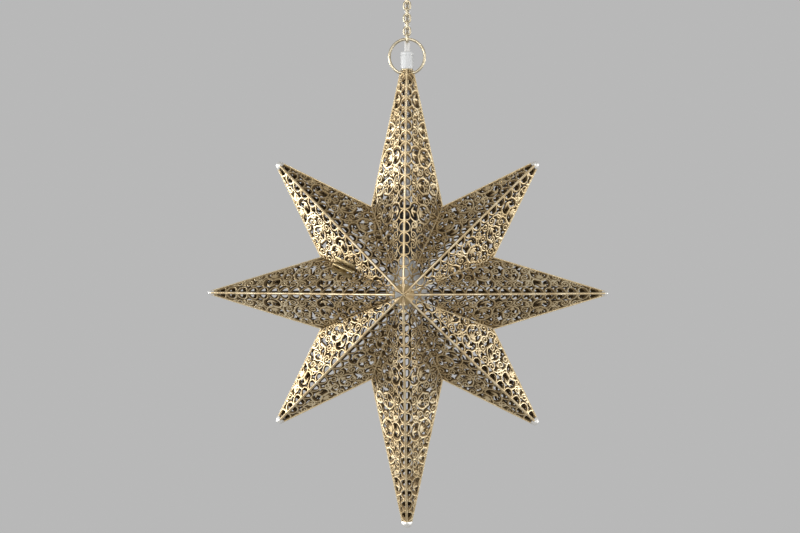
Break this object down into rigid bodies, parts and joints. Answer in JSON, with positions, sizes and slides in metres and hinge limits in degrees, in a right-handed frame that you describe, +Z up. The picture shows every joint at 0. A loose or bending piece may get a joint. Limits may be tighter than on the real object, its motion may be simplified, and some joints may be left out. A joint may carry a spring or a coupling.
{
  "type": "moravian star pendant",
  "caption": "Star pendant of pierced and folded sheet brass with a hinged door, on a wire ring and a short chain under a ceiling cup.",
  "frame": {"origin": "the middle of the ceiling bracket's upper face, between its two fixing holes", "axes": "+Z up to the ceiling, -Y the star's front, +X to the right seen from the front"},
  "size_m": [0.441, 0.15, 0.6515],
  "materials": {
    "pierced_brass": "antique satin",
    "wire_brass": "satin",
    "fitting_brass": "satin",
    "solder": "satin",
    "zinc_steel": "satin",
    "clear_grip": "gloss",
    "white_cord": "gloss",
    "black_bakelite": "gloss",
    "white_plastic": "matte",
    "frosted_glass": "frosted",
    "lamp_metal": "satin"
  },
  "bodies": {
    "ceiling_mount": {"ceiling_bracket": "zinc_steel", "ceiling_cup": "fitting_brass", "cup_screws": "fitting_brass", "cup_nipple": "fitting_brass", "nipple_nut": "fitting_brass", "chain_loop": "wire_brass", "terminal_block": "white_plastic", "chain_cord": "white_cord"},
    "link_1": {"chain_link_1": "wire_brass"},
    "link_2": {"chain_link_2": "wire_brass"},
    "link_3": {"chain_link_3": "wire_brass"},
    "link_4": {"chain_link_4": "wire_brass"},
    "link_5": {"chain_link_5": "wire_brass"},
    "link_6": {"chain_link_6": "wire_brass"},
    "link_7": {"chain_link_7": "wire_brass"},
    "ring": {"hanging_ring": "wire_brass"},
    "star": {"front_ray_right": "pierced_brass", "front_ray_upper_right": "pierced_brass", "front_ray_top": "pierced_brass", "front_ray_upper_left": "pierced_brass", "front_ray_lower_left": "pierced_brass", "front_ray_bottom": "pierced_brass", "front_ray_lower_right": "pierced_brass", "back_ray_right": "pierced_brass", "back_ray_upper_right": "pierced_brass", "back_ray_top": "pierced_brass", "back_ray_upper_left": "pierced_brass", "back_ray_left": "pierced_brass", "back_ray_lower_left": "pierced_brass", "back_ray_bottom": "pierced_brass", "back_ray_lower_right": "pierced_brass", "tip_beads": "solder", "neck_bush": "fitting_brass", "cord_grip_body": "clear_grip", "cord_grip_cap": "clear_grip", "lamp_cord": "white_cord", "lamp_holder_body": "black_bakelite", "lamp_holder_cap": "black_bakelite", "lamp_holder_insert": "fitting_brass", "hinge_leaf_frame": "pierced_brass"},
    "door": {"front_ray_left": "pierced_brass", "hinge_leaf_door": "pierced_brass", "hinge_pin": "wire_brass"},
    "bulb": {"bulb_glass": "frosted_glass", "bulb_cap": "lamp_metal"}
  },
  "joints": [
    {"name": "link_1_swing", "type": "hinge", "parent": "ceiling_mount", "child": "link_1", "pos_m": [0, 0, -0.069], "axis": [1, 0, 0], "range_deg": [-8, 8], "deforming": ["chain_cord"]},
    {"name": "link_2_swing", "type": "hinge", "parent": "link_1", "child": "link_2", "pos_m": [0, 0, -0.0752], "axis": [0, 1, 0], "range_deg": [-8, 8]},
    {"name": "link_3_swing", "type": "hinge", "parent": "link_2", "child": "link_3", "pos_m": [0, 0, -0.0822], "axis": [1, 0, 0], "range_deg": [-8, 8]},
    {"name": "link_4_swing", "type": "hinge", "parent": "link_3", "child": "link_4", "pos_m": [0, 0, -0.0892], "axis": [0, 1, 0], "range_deg": [-8, 8]},
    {"name": "link_5_swing", "type": "hinge", "parent": "link_4", "child": "link_5", "pos_m": [0, 0, -0.0962], "axis": [1, 0, 0], "range_deg": [-8, 8]},
    {"name": "link_6_swing", "type": "hinge", "parent": "link_5", "child": "link_6", "pos_m": [0, 0, -0.1032], "axis": [0, 1, 0], "range_deg": [-8, 8]},
    {"name": "link_7_swing", "type": "hinge", "parent": "link_6", "child": "link_7", "pos_m": [0, 0, -0.1102], "axis": [1, 0, 0], "range_deg": [-8, 8]},
    {"name": "ring_swing", "type": "hinge", "parent": "link_7", "child": "ring", "pos_m": [0, 0, -0.1172], "axis": [0, 1, 0], "range_deg": [-10, 10]},
    {"name": "star_swing", "type": "hinge", "parent": "ring", "child": "star", "pos_m": [0, 0, -0.15079], "axis": [1, 0, 0], "range_deg": [-10, 10]},
    {"name": "door_hinge", "type": "hinge", "parent": "star", "child": "door", "pos_m": [-0.07897, -0.01673, -0.36023], "axis": [-0.7469, 0.5886, 0.3094], "range_deg": [0, 80]},
    {"name": "bulb_slide", "type": "slide", "parent": "star", "child": "bulb", "axis": [0, 0, 1], "range_m": [-0.024, 0]}
  ]
}
